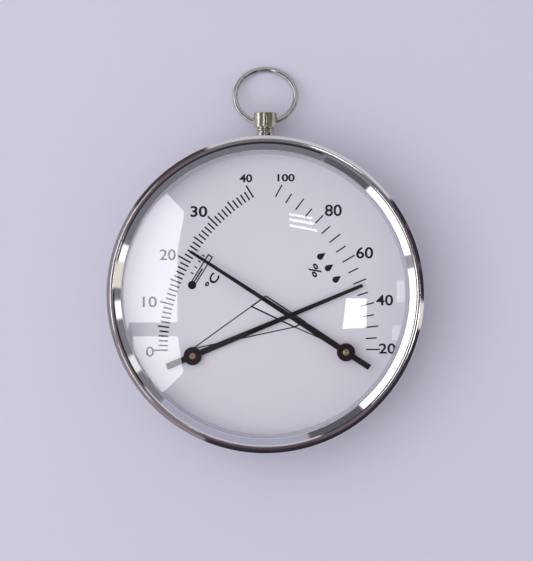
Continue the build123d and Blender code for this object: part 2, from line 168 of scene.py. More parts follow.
class FinishColours(bpy.types.PropertyGroup):
    """The colours of the finishes."""

    chrome: colour("Chrome", "Plated case and bezel", 0.86, 0.85, 0.87)
    nickel: colour("Nickel", "Plated neck", 0.66, 0.62, 0.52)
    wire: colour("Ring", "Plated wire ring", 0.60, 0.58, 0.54)
    enamel: colour("Dial", "White enamel of the dial", 0.79, 0.775, 0.845)
    reveal: colour("Reveal", "Pale ring round the dial", 0.62, 0.60, 0.70)
    black: colour("Black", "Black enamel of the hands", 0.005, 0.0045, 0.006)
    ink: colour("Ink", "Printing ink", 0.008, 0.007, 0.011)
    field: colour("Field", "White of the comfort field", 0.90, 0.89, 0.93)
    brass: colour("Brass", "Turned brass", 0.80, 0.60, 0.30)
    copper: colour("Copper", "Coppery spindle", 0.78, 0.52, 0.36)
    steel: colour("Steel", "Rolled sheet", 0.58, 0.58, 0.59)
    zinc: colour("Zinc", "Plated nuts, screws and washers", 0.60, 0.60, 0.63)
    glass: colour("Glass", "Crystal", 0.985, 0.985, 0.99)


class StageSettings(bpy.types.PropertyGroup):
    """The table, the light and the camera."""

    floor: colour("Floor", "Colour of the table", 0.635, 0.627, 0.735)
    room: colour("Room", "Colour of the light from all round", 0.62, 0.612, 0.635)
    window: bpy.props.FloatProperty(
        name="Window", description="Brightness of the window on the left", default=1.55, min=0
    )
    camera_height: length("Camera height", "Height of the camera over the table", 623.5)
    camera_x: length("Camera X", "Place of the camera across the dial", 0.365)
    camera_y: length("Camera Y", "Place of the camera up the dial", 4.405)


class HygrometerSettings(bpy.types.PropertyGroup):
    """All the sizes and colours of the instrument."""

    bezel: bpy.props.PointerProperty(type=BezelSizes)
    crystal: bpy.props.PointerProperty(type=CrystalSizes)
    dial: bpy.props.PointerProperty(type=DialSizes)
    hands: bpy.props.PointerProperty(type=HandSizes)
    hanger: bpy.props.PointerProperty(type=HangerSizes)
    colours: bpy.props.PointerProperty(type=FinishColours)
    stage: bpy.props.PointerProperty(type=StageSettings)


# Shader trees
class Wire:
    """An output socket, which adds the Math nodes of an expression that it stands in."""

    def __init__(self, tree, socket):
        self.tree = tree
        self.socket = socket

    def maths(self, operation, *values):
        return self.tree.node("ShaderNodeMath", {"operation": operation}, dict(enumerate(values)))

    def __add__(self, other):
        return self.maths("ADD", self, other)

    def __mul__(self, other):
        return self.maths("MULTIPLY", self, other)

    def sine(self):
        return self.maths("SINE", self)

    __radd__ = __add__
    __rmul__ = __mul__


class Tree:
    """A node tree that gets its nodes one by one."""

    def __init__(self, node_tree):
        self.nodes = node_tree.nodes
        self.links = node_tree.links

    def node(self, kind, settings=None, values=None, output=0):
        """A node with its settings, and with a value or a wire for each socket named."""
        made = self.nodes.new(kind)
        for name, value in (settings or {}).items():
            setattr(made, name, value)
        for name, value in (values or {}).items():
            self.feed(made.inputs[name], value)
        return Wire(self, made.outputs[output])

    def feed(self, socket, value):
        if isinstance(value, Wire):
            self.links.new(value.socket, socket)
        else:
            socket.default_value = value

    def coordinates(self, scale=(1, 1, 1), centre=(0, 0, 0)):
        """Object coordinates, centred and stretched."""
        place = self.node("ShaderNodeTexCoord", output="Object")
        moved = self.node(
            "ShaderNodeVectorMath", {"operation": "SUBTRACT"}, {0: place, 1: centre}
        )
        return self.node("ShaderNodeVectorMath", {"operation": "MULTIPLY"}, {0: moved, 1: scale})

    def noise(self, scale, detail=3.0, roughness=0.5, vector=None):
        return self.node(
            "ShaderNodeTexNoise",
            values={
                "Vector": vector or self.coordinates(), "Scale": scale, "Detail": detail,
                "Roughness": roughness,
            },
        )

    def blend(self, factor, first, second):
        """Two colours mixed by a factor."""
        pair = [c if isinstance(c, Wire) else (*c, 1) for c in (first, second)]
        return self.node(
            "ShaderNodeMix", {"data_type": "RGBA"}, {0: factor, 6: pair[0], 7: pair[1]}, 2
        )

    def fit(self, value, low, high, to_low=0.0, to_high=1.0, smooth=False):
        """A value read between two limits and given between two others."""
        kind = "SMOOTHSTEP" if smooth else "LINEAR"
        limits = {0: value, 1: low, 2: high, 3: to_low, 4: to_high}
        return self.node("ShaderNodeMapRange", {"interpolation_type": kind}, limits)

    def bump(self, height, distance):
        return self.node("ShaderNodeBump", values={"Height": height, "Distance": distance})


class Finish(Tree):
    """A material that starts from a Principled shader with its plain values."""

    def __init__(self, name, **plain):
        self.material = bpy.data.materials.new(name)
        self.material.use_nodes = True
        super().__init__(self.material.node_tree)
        self.shader = self.nodes["Principled BSDF"]
        for socket, value in plain.items():
            self.feed(self.shader.inputs[socket.replace("_", " ")], value)

    def drive(self, **varied):
        """Links what changes over the surface, and gives the material back."""
        for socket, wire in varied.items():
            self.feed(self.shader.inputs[socket.replace("_", " ")], wire)
        return self.material


def darker(rgb, factor):
    return tuple(channel * factor for channel in rgb)


def chrome_finish(name, rgb, polish, edge=1.0):
    """Bright plate with faint handling haze and waviness. An edge tint below one paints it darker where it is seen
    edge on: painted shade that stands in for the contact shadow and dark room that it reflects there.
    """
    finish = Finish(name, Metallic=1.0, Specular_Tint=(edge, edge, edge, 1))
    haze = finish.noise(90, 4, 0.6)
    specks = finish.fit(finish.noise(2600, 2, 0.6), 0.66, 0.78)
    wave = finish.noise(160, 2, 0.4) + finish.noise(1400, 2, 0.5) * 0.04
    return finish.drive(
        Base_Color=finish.blend(finish.fit(haze, 0.35, 0.75), rgb, darker(rgb, 0.94)),
        Roughness=finish.fit(haze, 0.4, 0.75, polish, polish + 0.04) + specks * 0.12,
        Normal=finish.bump(wave, 0.000015),
    )


def turned_finish(name, rgb, centre, axis, pitch, polish):
    """Metal with fine tool rings about an axis through a place."""
    finish = Finish(name, Metallic=1.0)
    across = tuple(0.0 if index == axis else 1.0 for index in range(3))
    along = tuple(1.0 if index == axis else 0.0 for index in range(3))
    radius = finish.node(
        "ShaderNodeVectorMath", {"operation": "LENGTH"},
        {0: finish.coordinates(across, centre)}, "Value",
    )
    height = finish.node(
        "ShaderNodeVectorMath", {"operation": "DOT_PRODUCT"},
        {0: finish.coordinates(along, centre), 1: (1, 1, 1)}, "Value",
    )
    rings = ((radius + height) * (2 * math.pi / pitch)).sine()
    stain = finish.noise(700, 4, 0.6)
    tone = finish.blend(finish.fit(stain, 0.35, 0.7), rgb, darker(rgb, 0.72))
    return finish.drive(
        Base_Color=finish.blend(finish.fit(rings, -1, 1, 0, 0.25), tone, darker(rgb, 0.6)),
        Roughness=finish.fit(stain, 0.3, 0.7, polish, polish + 0.1),
        Normal=finish.bump(rings + finish.noise(3000, 2) * 0.6, 0.000004),
    )


def rolled_finish(name, rgb, polish=0.3, grain=(40, 2400, 40)):
    """Rolled sheet or strip with a grain along one way."""
    finish = Finish(name, Metallic=1.0)
    lines = finish.noise(1, 4, 0.6, finish.coordinates(grain))
    cloud = finish.noise(120, 3)
    tone = finish.blend(finish.fit(cloud, 0.3, 0.75), rgb, darker(rgb, 0.85))
    return finish.drive(
        Base_Color=finish.blend(finish.fit(lines, 0.3, 0.7, 0, 0.3), tone, darker(rgb, 0.7)),
        Roughness=finish.fit(lines, 0.3, 0.7, polish, polish + 0.12),
        Normal=finish.bump(lines, 0.000006),
    )


def zinc_finish(name, rgb):
    """Zinc plate with its mottled cast."""
    finish = Finish(name, Metallic=1.0)
    cells = finish.node(
        "ShaderNodeTexVoronoi", values={"Vector": finish.coordinates(), "Scale": 1500}
    )
    cloud = finish.noise(500, 3)
    return finish.drive(
        Base_Color=finish.blend(finish.fit(cloud, 0.3, 0.7), rgb, (0.66, 0.64, 0.56)),
        Roughness=finish.fit(cells, 0.0, 0.7, 0.26, 0.4),
        Normal=finish.bump(cells, 0.000006),
    )


def enamel_finish(name, rgb, roughness):
    """Sprayed and stoved enamel: almost even, with a faint orange peel."""
    finish = Finish(name, Specular_IOR_Level=0.4)
    cloud = finish.noise(45, 3, 0.5)
    peel = finish.noise(1300, 2, 0.5)
    grain = finish.fit(finish.noise(5200, 2), 0.3, 0.7)
    tone = finish.blend(finish.fit(cloud, 0.3, 0.75), rgb, darker(rgb, 0.985))
    return finish.drive(
        Base_Color=finish.blend(grain * 0.03, tone, darker(rgb, 0.7)),
        Roughness=finish.fit(cloud, 0.3, 0.7, roughness, roughness + 0.06),
        Normal=finish.bump(peel, 0.000006),
    )


def black_finish(name, rgb):
    """Black enamel on a thin stamping, a little dusty."""
    finish = Finish(name, Specular_IOR_Level=0.2)
    cloud = finish.noise(260, 4, 0.6)
    dust = finish.fit(finish.noise(4200, 3, 0.7), 0.62, 0.8)
    worn = finish.blend(finish.fit(cloud, 0.35, 0.75), rgb, tuple(c * 1.9 for c in rgb))
    return finish.drive(
        Base_Color=finish.blend(dust * 0.06, worn, (0.35, 0.34, 0.34)),
        Roughness=finish.fit(cloud, 0.3, 0.7, 0.34, 0.46) + dust * 0.15,
        Normal=finish.bump(finish.noise(900, 2), 0.00001),
    )


def ink_finish(name, rgb):
    """Screen-printed ink, uneven at the scale of the mesh."""
    finish = Finish(name, Specular_IOR_Level=0.12)
    mesh = finish.noise(2600, 3, 0.6)
    thin = finish.fit(mesh, 0.5, 0.8)
    return finish.drive(
        Base_Color=finish.blend(thin * 0.25, rgb, tuple(c + 0.03 for c in rgb)),
        Roughness=finish.fit(mesh, 0.3, 0.7, 0.45, 0.62),
        Normal=finish.bump(mesh, 0.000004),
    )


def rubber_finish(name, rgb):
    """Black gasket rubber with a matt skin."""
    finish = Finish(name, Specular_IOR_Level=0.25)
    skin = finish.noise(1800, 4, 0.7)
    return finish.drive(
        Base_Color=finish.blend(finish.fit(skin, 0.3, 0.7), rgb, (0.05, 0.05, 0.05)),
        Roughness=finish.fit(skin, 0.3, 0.7, 0.7, 0.9),
        Normal=finish.bump(skin, 0.00002),
    )


def laminate_finish(name, rgb):
    """Pale strip with a film that takes up moisture."""
    finish = Finish(name, Specular_IOR_Level=0.5)
    film = finish.noise(700, 4, 0.6)
    lines = finish.noise(1, 3, 0.5, finish.coordinates((60, 60, 3200)))
    tone = finish.blend(finish.fit(film, 0.3, 0.7), rgb, (0.50, 0.45, 0.34))
    return finish.drive(
        Base_Color=finish.blend(finish.fit(lines, 0.4, 0.6, 0, 0.2), tone, (0.3, 0.27, 0.2)),
        Roughness=finish.fit(film, 0.3, 0.7, 0.32, 0.5),
        Metallic=finish.fit(film, 0.3, 0.7, 0.25, 0.5),
        Normal=finish.bump(lines, 0.000008),
    )


def glass_finish(name, rgb):
    """Clear glass that lets the lamps through to the dial."""
    finish = Finish(name, Base_Color=(*rgb, 1), Roughness=0.0, IOR=1.5, Transmission_Weight=1.0)
    smear = finish.noise(70, 4, 0.6)
    clear = finish.node("ShaderNodeBsdfTransparent", values={"Color": (0.96, 0.96, 0.965, 1)})
    rays = finish.nodes.new("ShaderNodeLightPath")
    shadow = Wire(finish, rays.outputs["Is Shadow Ray"])
    diffuse = Wire(finish, rays.outputs["Is Diffuse Ray"])
    glass = Wire(finish, finish.shader.outputs[0])
    through = shadow.maths("MAXIMUM", shadow, diffuse)
    mixed = finish.node("ShaderNodeMixShader", values={0: through, 1: glass, 2: clear})
    finish.feed(finish.nodes["Material Output"].inputs["Surface"], mixed)
    return finish.drive(Normal=finish.bump(smear, 0.0000003))


def table_finish(name, rgb):
    """The matt table top."""
    finish = Finish(name, Specular_IOR_Level=0.2)
    cloud = finish.noise(3.5, 3, 0.5)
    grain = finish.noise(900, 3, 0.6)
    return finish.drive(
        Base_Color=finish.blend(finish.fit(cloud, 0.3, 0.7), rgb, darker(rgb, 0.985)),
        Roughness=finish.fit(grain, 0.3, 0.7, 0.6, 0.72),
        Normal=finish.bump(grain, 0.00003),
    )


def lit_finish(name, rgb):
    """A card that shines evenly and lights nothing by itself."""
    finish = Finish(name, Base_Color=(0, 0, 0, 1), Emission_Color=(*rgb, 1), Emission_Strength=1.0)
    finish.material.cycles.emission_sampling = "NONE"
    return finish.material


def room_finish(name, light, areas):
    """The walls and ceiling of the studio, as the plate shows them.

    Each area is (azimuth from, to, elevation from, to in degrees, softness, colour).
    """
    finish = Finish(name, Base_Color=(0, 0, 0, 1), Emission_Strength=1.0)
    split = finish.nodes.new("ShaderNodeSeparateXYZ")
    finish.feed(split.inputs[0], finish.coordinates())
    x, y, z = (Wire(finish, output) for output in split.outputs)
    square = x * x + y * y
    level = square.maths("SQRT", square)
    around = x.maths("ARCTAN2", y, x) * DEGREES
    around = around + around.maths("LESS_THAN", around, 0) * 360
    height = x.maths("ARCTAN2", z, level) * DEGREES
    shown = light
    for start, stop, low, high, soft, rgb in areas:
        mask = finish.fit(around, start - soft, start + soft, smooth=True)
        mask = mask * finish.fit(around, stop - soft, stop + soft, 1, 0, smooth=True)
        mask = mask * finish.fit(height, low - soft, low + soft, smooth=True)
        mask = mask * finish.fit(height, high - soft, high + soft, 1, 0, smooth=True)
        shown = finish.blend(mask, shown, rgb)
    finish.material.cycles.emission_sampling = "NONE"
    return finish.drive(Emission_Color=shown)


# For each finish: its maker, its colour or that colour's name, and what else the maker takes
RECIPES = {
    "case_chrome": (chrome_finish, "chrome", 0.06),
    "bezel_chrome": (chrome_finish, "chrome", 0.04),
    "crystal_glass": (glass_finish, "glass"),
    "gasket_rubber": (rubber_finish, (0.02, 0.02, 0.02)),
    "reveal_enamel": (enamel_finish, "reveal", 0.32),
    "dial_enamel": (enamel_finish, "enamel", 0.5),
    "sheet_steel": (rolled_finish, "steel"),
    "neck_nickel": (turned_finish, "nickel", (0, 0, RING_EYE.z), 1, 0.00022, 0.06),
    # The ring's edge tint of nought paints its wire dark where it is seen edge on: painted shade for the contact
    # shadow and dark room that it reflects
    "ring_nickel": (chrome_finish, "wire", 0.1, 0.0),
    "fastener_steel": (zinc_finish, "zinc"),
    "thermo_brass": (turned_finish, "brass", THERMO_HUB, 2, 0.00016, 0.24),
    "hygro_brass": (turned_finish, "copper", HYGRO_HUB, 2, 0.00016, 0.3),
    "turned_brass": (turned_finish, "brass", (0, 0, 0), 2, 0.0003, 0.26),
    "bimetal_strip": (rolled_finish, (0.5, 0.46, 0.4), 0.28, (60, 60, 3000)),
    "humidity_laminate": (laminate_finish, (0.62, 0.58, 0.46)),
    "hand_black": (black_finish, "black"),
    "print_ink": (ink_finish, "ink"),
    "field_white": (enamel_finish, "field", 0.5),
}
FINISHES = {}


def finish_of(name):
    """A finish by name, made when it is first asked for."""
    if name not in FINISHES:
        maker, rgb, *rest = RECIPES[name]
        if isinstance(rgb, str):
            rgb = getattr(bpy.context.scene.hygrometer.colours, rgb)
        FINISHES[name] = maker(name, rgb, *rest)
    return FINISHES[name]


# Modelling
def leave_nothing_selected():
    if bpy.context.object and bpy.context.object.mode != "OBJECT":
        bpy.ops.object.mode_set(mode="OBJECT")
    bpy.ops.object.select_all(action="DESELECT")


def take(piece):
    """Leaves a piece selected and active alone, in object mode."""
    leave_nothing_selected()
    piece.select_set(True)
    bpy.context.view_layer.objects.active = piece


def edit():
    """Opens the active piece for editing, all selected."""
    bpy.ops.object.mode_set(mode="EDIT")
    bpy.ops.mesh.select_mode(type="VERT")
    select_all()


def select_all():
    bpy.ops.mesh.select_all(action="SELECT")


def begin(kind, **settings):
    """Adds a primitive, puts its place in its mesh and opens it for editing, all selected."""
    leave_nothing_selected()
    getattr(bpy.ops.mesh, f"primitive_{kind}_add")(**settings)
    bpy.ops.object.transform_apply(location=True, rotation=True, scale=True)
    edit()
    return bpy.context.object


def flat_disc(sides, radius, location, **settings):
    return begin(
        "circle", vertices=sides, radius=radius, location=location, fill_type="NGON", **settings
    )


def put_in_scene(name, data):
    made = bpy.data.objects.new(name, data)
    bpy.context.scene.collection.objects.link(made)
    return made


def choose(test, kind="edges"):
    """Selects only the edges, or the verts, whose corners all pass a test of their place."""
    mesh = bmesh.from_edit_mesh(bpy.context.object.data)
    for elements in (mesh.faces, mesh.edges, mesh.verts):
        for element in elements:
            element.select_set(False)
    for element in getattr(mesh, kind):
        corners = [element] if kind == "verts" else element.verts
        if all(test(corner.co) for corner in corners):
            element.select_set(True)
    bmesh.update_edit_mesh(bpy.context.object.data)


def choose_ring(radius, height):
    """Selects the ring of edges at a radius and a height about Z."""
    bpy.ops.mesh.select_mode(type="EDGE")
    choose(lambda co: abs(math.hypot(co.x, co.y) - radius) < NEAR and abs(co.z - height) < NEAR)


def round_ring(radius, height, rounding, segments=8):
    choose_ring(radius, height)
    bpy.ops.mesh.bevel(offset=rounding, segments=segments, profile=0.5, affect="EDGES")


def merge():
    select_all()
    bpy.ops.mesh.remove_doubles(threshold=NEAR)


def face_out():
    select_all()
    bpy.ops.mesh.normals_make_consistent(inside=False)


def merge_and_face_out():
    merge()
    face_out()


def extrude_up(height):
    bpy.ops.mesh.extrude_region_move(TRANSFORM_OT_translate={"value": (0, 0, height)})


def turn(outline, sides=192, closed=True, poles=False):
    """A ring of edges carried along an outline of (radius, height) points about Z.

    A closed outline comes back to its first point. With poles, the first and last
    rings are drawn together into points on the axis.
    """
    (radius, height), *rest = outline
    piece = begin("circle", vertices=sides, radius=radius, location=(0, 0, height))
    for next_radius, next_height in rest + ([outline[0]] if closed else []):
        extrude_up(next_height - height)
        if next_radius != radius:
            grow = next_radius / radius
            bpy.ops.transform.resize(value=(grow, grow, 1), center_override=(0, 0, next_height))
        radius, height = next_radius, next_height
    if poles:
        bpy.ops.mesh.merge(type="COLLAPSE")
        choose_ring(*outline[0])
        bpy.ops.mesh.merge(type="COLLAPSE")
    merge_and_face_out()
    return piece


def polygon(corners, height):
    """A flat face at a height, with its corners carried to their places from far outside."""
    piece = flat_disc(len(corners), 3.0, (0, 0, height))
    starts = [vertex.co.copy() for vertex in bmesh.from_edit_mesh(piece.data).verts]
    for start, corner in zip(starts, corners):
        choose(lambda co: (co - start).length < NEAR, "verts")
        bpy.ops.transform.translate(value=Vector((*corner, height)) - start)
    face_out()
    return piece


def thicken(thickness):
    """Gives the selected flat faces a thickness upwards."""
    extrude_up(thickness)
    merge_and_face_out()


def apply_modifier(piece, kind, **settings):
    bpy.ops.object.mode_set(mode="OBJECT")
    modifier = piece.modifiers.new(kind.title(), kind)
    for name, value in settings.items():
        setattr(modifier, name, value)
    bpy.ops.object.modifier_apply(modifier=modifier.name)


def cut(piece, cutter, operation="DIFFERENCE"):
    """Joins or cuts a piece with another, which is used up."""
    take(piece)
    apply_modifier(piece, "BOOLEAN", object=cutter, operation=operation, solver="EXACT")
    bpy.data.objects.remove(cutter)


def set_place(piece, matrix):
    """Turns and moves a piece, with its place kept in its mesh."""
    take(piece)
    piece.matrix_world = matrix
    bpy.ops.object.transform_apply(location=True, rotation=True, scale=True)


def placed(x, y, z=0.0, turned=0.0):
    """The matrix of a place and a turn about Z in radians."""
    return Matrix.Translation((x, y, z)) @ Matrix.Rotation(turned, 4, "Z")


def join(pieces):
    """Makes one piece of several."""
    take(pieces[0])
    for piece in pieces[1:]:
        piece.select_set(True)
    bpy.ops.object.join()
    return pieces[0]


def finish_piece(piece, name, slot, *nodes, body="case", finish=None, smooth=30):
    """Names, smooths and paints a piece, hangs it on the empty of the body that it rides on, and hides the CAD
    nodes that it stands for.

    Its finish is that of its material slot unless another one is named.
    """
    take(piece)
    piece.name = name
    piece.data.name = name
    bpy.ops.object.shade_smooth_by_angle(angle=math.radians(smooth))
    apply_modifier(piece, "WEIGHTED_NORMAL", keep_sharp=True)
    piece.data.materials.clear()
    piece.data.materials.append(finish_of(finish or slot))
    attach(piece, body)
    if nodes:
        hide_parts(*nodes)


class HYGROMETER_OT_turn_bezel(bpy.types.Operator):
    """Turn the chrome bezel with its slope, bead and funnel"""

    bl_idname = "hygrometer.turn_bezel"
    bl_label = "Turn the bezel"

    def slope(self, sizes, outer, front, steps=10):
        """Points of the convex slope from the outer edge up to the bead."""
        first, last = sizes.slope_start, sizes.slope_end
        radius = sizes.slope_width / (math.sin(last) - math.sin(first))
        turns = [last + (first - last) * step / steps for step in range(steps + 1)]
        return [
            (
                outer - radius * (math.sin(last) - math.sin(turn)),
                front - radius * (math.cos(first) - math.cos(turn)),
            )
            for turn in turns
        ]

    def execute(self, context):
        sizes = context.scene.hygrometer.bezel
        outer, front = BEZEL_HIGH.x, BEZEL_HIGH.z
        rim = sizes.lip_under - sizes.pocket_depth
        pocket = CRYSTAL_HIGH.x + sizes.pocket_gap
        skirt_inner = outer - sizes.skirt_wall
        slope = self.slope(sizes, outer, front)
        piece = turn(
            [
                (skirt_inner, BEZEL_LOW.z), (outer, BEZEL_LOW.z), *slope,
                (sizes.bead_inner, front),
                (sizes.lip_radius, sizes.lip_top), (sizes.lip_radius, sizes.lip_under),
                (pocket, sizes.lip_under), (pocket, rim), (skirt_inner, rim),
            ],
            sides=256,
        )
        round_ring(*slope[0], sizes.edge_rounding, 5)
        round_ring(sizes.bead_inner, front, sizes.bead_rounding, 10)
        round_ring(sizes.lip_radius, sizes.lip_top, sizes.lip_rounding, 6)
        round_ring(outer, BEZEL_LOW.z, 0.15 * MM, 3)
        round_ring(skirt_inner, BEZEL_LOW.z, 0.12 * MM, 2)
        finish_piece(piece, "chrome_bezel", "bezel_chrome", "bezel")
        return {"FINISHED"}


class HYGROMETER_OT_draw_case(bpy.types.Operator):
    """Smooth the drawn case cup with its vents and adjusting slots"""

    bl_idname = "hygrometer.draw_case"
    bl_label = "Draw the case"

    def execute(self, context):
        piece = put_in_scene("case_cup", frame["nodes"]["case_shell"].data.copy())
        take(piece)
        edit()
        merge()
        finish_piece(piece, "case_cup", "case_chrome", "case_shell")
        return {"FINISHED"}


class HYGROMETER_OT_grind_crystal(bpy.types.Operator):
    """Make the domed crystal"""

    bl_idname = "hygrometer.grind_crystal"
    bl_label = "Grind the crystal"

    rings: bpy.props.IntProperty(
        name="Rings", description="Rings of faces over the dome", default=28, min=3
    )

    def dome(self, edge_radius, edge_height, rise):
        """Points of an arc from near the axis out to the flat rim."""
        sphere = (edge_radius**2 + rise**2) / (2 * rise)
        middle = edge_height + rise - sphere
        radii = [edge_radius * index / self.rings for index in range(1, self.rings + 1)]
        return [(radius, middle + math.sqrt(sphere**2 - radius**2)) for radius in radii]

    def execute(self, context):
        sizes = context.scene.hygrometer.crystal
        outer = CRYSTAL_HIGH.x
        edge = outer - sizes.seat_width
        under, top = CRYSTAL_LOW.z, CRYSTAL_LOW.z + sizes.thickness
        inside = self.dome(edge, under, sizes.dome)
        outside = self.dome(edge, top, sizes.dome)
        outline = [(POLE, under + sizes.dome), *inside, (outer, under), (outer, top)]
        outline += [*reversed(outside), (POLE, top + sizes.dome)]
        piece = turn(outline, closed=False, poles=True)
        for height in (top, under):
            round_ring(outer, height, 0.3 * MM, 4)
        finish_piece(piece, "domed_crystal", "crystal_glass", "crystal", smooth=20)
        return {"FINISHED"}


class HYGROMETER_OT_turn_reveal(bpy.types.Operator):
    """Turn the pale ring between the dial and the crystal"""

    bl_idname = "hygrometer.turn_reveal"
    bl_label = "Turn the reveal ring"

    def execute(self, context):
        foot_width = 2.1 * MM
        outer, low, high = REVEAL_HIGH.x, REVEAL_LOW.z, REVEAL_HIGH.z
        top = outer - context.scene.hygrometer.crystal.seat_width
        piece = turn([(outer - foot_width, low), (outer, low), (outer, high), (top, high)])
        round_ring(top, high, 0.12 * MM, 3)
        finish_piece(piece, "reveal_surround", "reveal_enamel", "reveal_ring")
        return {"FINISHED"}


class HYGROMETER_OT_turn_neck(bpy.types.Operator):
    """Turn the neck with its foot, groove, bead and cross hole"""

    bl_idname = "hygrometer.turn_neck"
    bl_label = "Turn the neck"

    def execute(self, context):
        sizes = context.scene.hygrometer.hanger
        stud_end = NECK_LOW.y - sizes.case_radius
        top = NECK_HIGH.y - sizes.case_radius
        foot_top, groove_top, bead_top, body_foot = 2.8 * MM, 3.2 * MM, 4.1 * MM, 4.4 * MM
        groove, undercut = 2.3 * MM, 2.5 * MM
        piece = turn(
            [
                (POLE, stud_end), (sizes.stud, stud_end), (sizes.stud, 0), (sizes.foot, 0),
                (sizes.foot, foot_top), (groove, foot_top), (groove, groove_top),
                (sizes.bead, groove_top), (sizes.bead, bead_top), (undercut, bead_top),
                (undercut, body_foot), (sizes.body, body_foot), (sizes.body, top), (POLE, top),
            ],
            sides=96, closed=False, poles=True,
        )
        round_ring(sizes.body, top, 0.35 * MM, 5)
        round_ring(sizes.body, body_foot, 0.15 * MM, 3)
        round_ring(sizes.bead, groove_top, 0.35 * MM, 5)
        round_ring(sizes.bead, bead_top, 0.35 * MM, 5)
        round_ring(sizes.foot, foot_top, 0.15 * MM, 3)
        lying = Matrix.Rotation(math.radians(-90), 4, "X")
        set_place(piece, Matrix.Translation((0, sizes.case_radius, RING_EYE.z)) @ lying)
        drill = begin(
            "cylinder", vertices=64, radius=sizes.eye, depth=4 * sizes.body, location=RING_EYE,
            rotation=(0, math.radians(90), 0),
        )
        cut(piece, drill)
        finish_piece(piece, "turned_neck", "neck_nickel", "neck")
        return {"FINISHED"}


class HYGROMETER_OT_bend_ring(bpy.types.Operator):
    """Bend the wire ring through the neck, with its butt joint"""

    bl_idname = "hygrometer.bend_ring"
    bl_label = "Bend the hanging ring"

    def execute(self, context):
        sizes = context.scene.hygrometer.hanger
        gap = sizes.joint_gap / sizes.ring
        piece = flat_disc(32, sizes.wire, (sizes.ring, 0, 0), rotation=(math.radians(90), 0, 0))
        bpy.ops.mesh.spin(
            steps=200, angle=2 * math.pi - gap, center=(0, 0, 0), axis=(0, 0, 1)
        )
        merge_and_face_out()
        for side in (0, -gap):
            start = Vector((math.cos(side), math.sin(side), 0))
            across = Vector((-start.y, start.x, 0))
            bpy.ops.mesh.select_mode(type="EDGE")
            choose(lambda co: abs(co.dot(across)) < NEAR and co.dot(start) > 0)
            bpy.ops.mesh.region_to_loop()
            bpy.ops.mesh.bevel(offset=0.12 * MM, segments=3, affect="EDGES")
        reach = 2 * sizes.ring - sizes.offset
        tilt = math.asin((RING_EYE.z - sizes.wire) / reach)
        set_place(
            piece,
            Matrix.Translation(RING_EYE)
            @ Matrix.Rotation(-tilt, 4, "X")
            @ placed(0, sizes.ring - sizes.offset, turned=sizes.joint_angle + gap / 2),
        )
        finish_piece(piece, "wire_ring", "ring_nickel", "hanging_ring", body="ring")
        return {"FINISHED"}


class HYGROMETER_OT_cut_hands(bpy.types.Operator):
    """Cut the two long black hands"""

    bl_idname = "hygrometer.cut_hands"
    bl_label = "Cut the hands"

    def hand(self, system, hub, sizes):
        """A blade tapered from its eye to its tip, with a square tail."""
        direction, root, tip = (
            getattr(sizes, f"{system}_{part}") for part in ("angle", "root", "tip")
        )
        node = f"{system}_pointer"
        under, top = (corner.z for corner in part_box(node))
        height = (under + top) / 2
        reach = self.reach(frame["nodes"][node].data, hub, direction)
        middle = (reach - sizes.tail) / 2
        piece = begin(
            "cube", size=1, location=(middle, 0, height),
            scale=(reach + sizes.tail, root, top - under),
        )
        choose(lambda co: co.x > middle, "verts")
        bpy.ops.transform.resize(value=(1, tip / root, 1), center_override=(middle, 0, 0))
        bpy.ops.mesh.select_mode(type="FACE")
        select_all()
        bpy.ops.mesh.bisect(plane_co=(0, 0, 0), plane_no=(1, 0, 0))
        for side in (-1, 1):
            choose(lambda co: co.x < NEAR and co.y * side > 0, "verts")
            bpy.ops.transform.resize(value=(1, 0, 1), center_override=(0, side * root / 2, 0))
        eye, bore = 2.4 * MM, 1.5 * MM
        for radius, depth, operation in ((eye, top - under, "UNION"), (bore, MM, "DIFFERENCE")):
            disc = begin(
                "cylinder", vertices=64, radius=radius, depth=depth, location=(0, 0, height)
            )
            cut(piece, disc, operation)
        apply_modifier(
            piece, "BEVEL", width=sizes.edge, segments=2, limit_method="ANGLE",
            angle_limit=math.radians(50),
        )
        set_place(piece, placed(hub.x, hub.y, turned=direction))
        finish_piece(piece, f"{system}_blade", "hand_black", node, body=f"{system}_hand")

    def reach(self, mesh, hub, direction):
        """The CAD blade's length from its spindle."""
        way = Vector((math.cos(direction), math.sin(direction), 0))
        return max((vertex.co - hub).dot(way) for vertex in mesh.vertices)

    def execute(self, context):
        for system, hub in SYSTEMS:
            self.hand(system, hub, context.scene.hygrometer.hands)
        return {"FINISHED"}


class HYGROMETER_OT_turn_bosses(bpy.types.Operator):
    """Turn the black bosses that hold the hands"""

    bl_idname = "hygrometer.turn_bosses"
    bl_label = "Turn the bosses"

    def execute(self, context):
        sizes = context.scene.hygrometer.hands
        for system, hub in SYSTEMS:
            node = f"{system}_pointer_boss"
            foot, top = (corner.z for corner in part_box(node))
            blade_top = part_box(f"{system}_pointer")[1].z
            spigot, groove, recess = 1.5 * MM, 2.2 * MM, 1.6 * MM
            bore, cut_depth = sizes.spindle, 0.12 * MM
            piece = turn(
                [
                    (bore, foot), (spigot, foot), (spigot, blade_top), (sizes.boss, blade_top),
                    (sizes.boss, top), (groove, top), (groove - 0.1 * MM, top - cut_depth),
                    (groove - 0.25 * MM, top - cut_depth), (groove - 0.35 * MM, top),
                    (recess, top), (recess - 0.15 * MM, top - cut_depth), (bore, top - cut_depth),
                ],
                sides=96,
            )
            round_ring(sizes.boss, top, 0.2 * MM, 5)
            round_ring(sizes.boss, blade_top, 0.08 * MM, 2)
            set_place(piece, placed(hub.x, hub.y))
            finish_piece(piece, f"{system}_boss", "hand_black", node, body=f"{system}_hand")
        return {"FINISHED"}


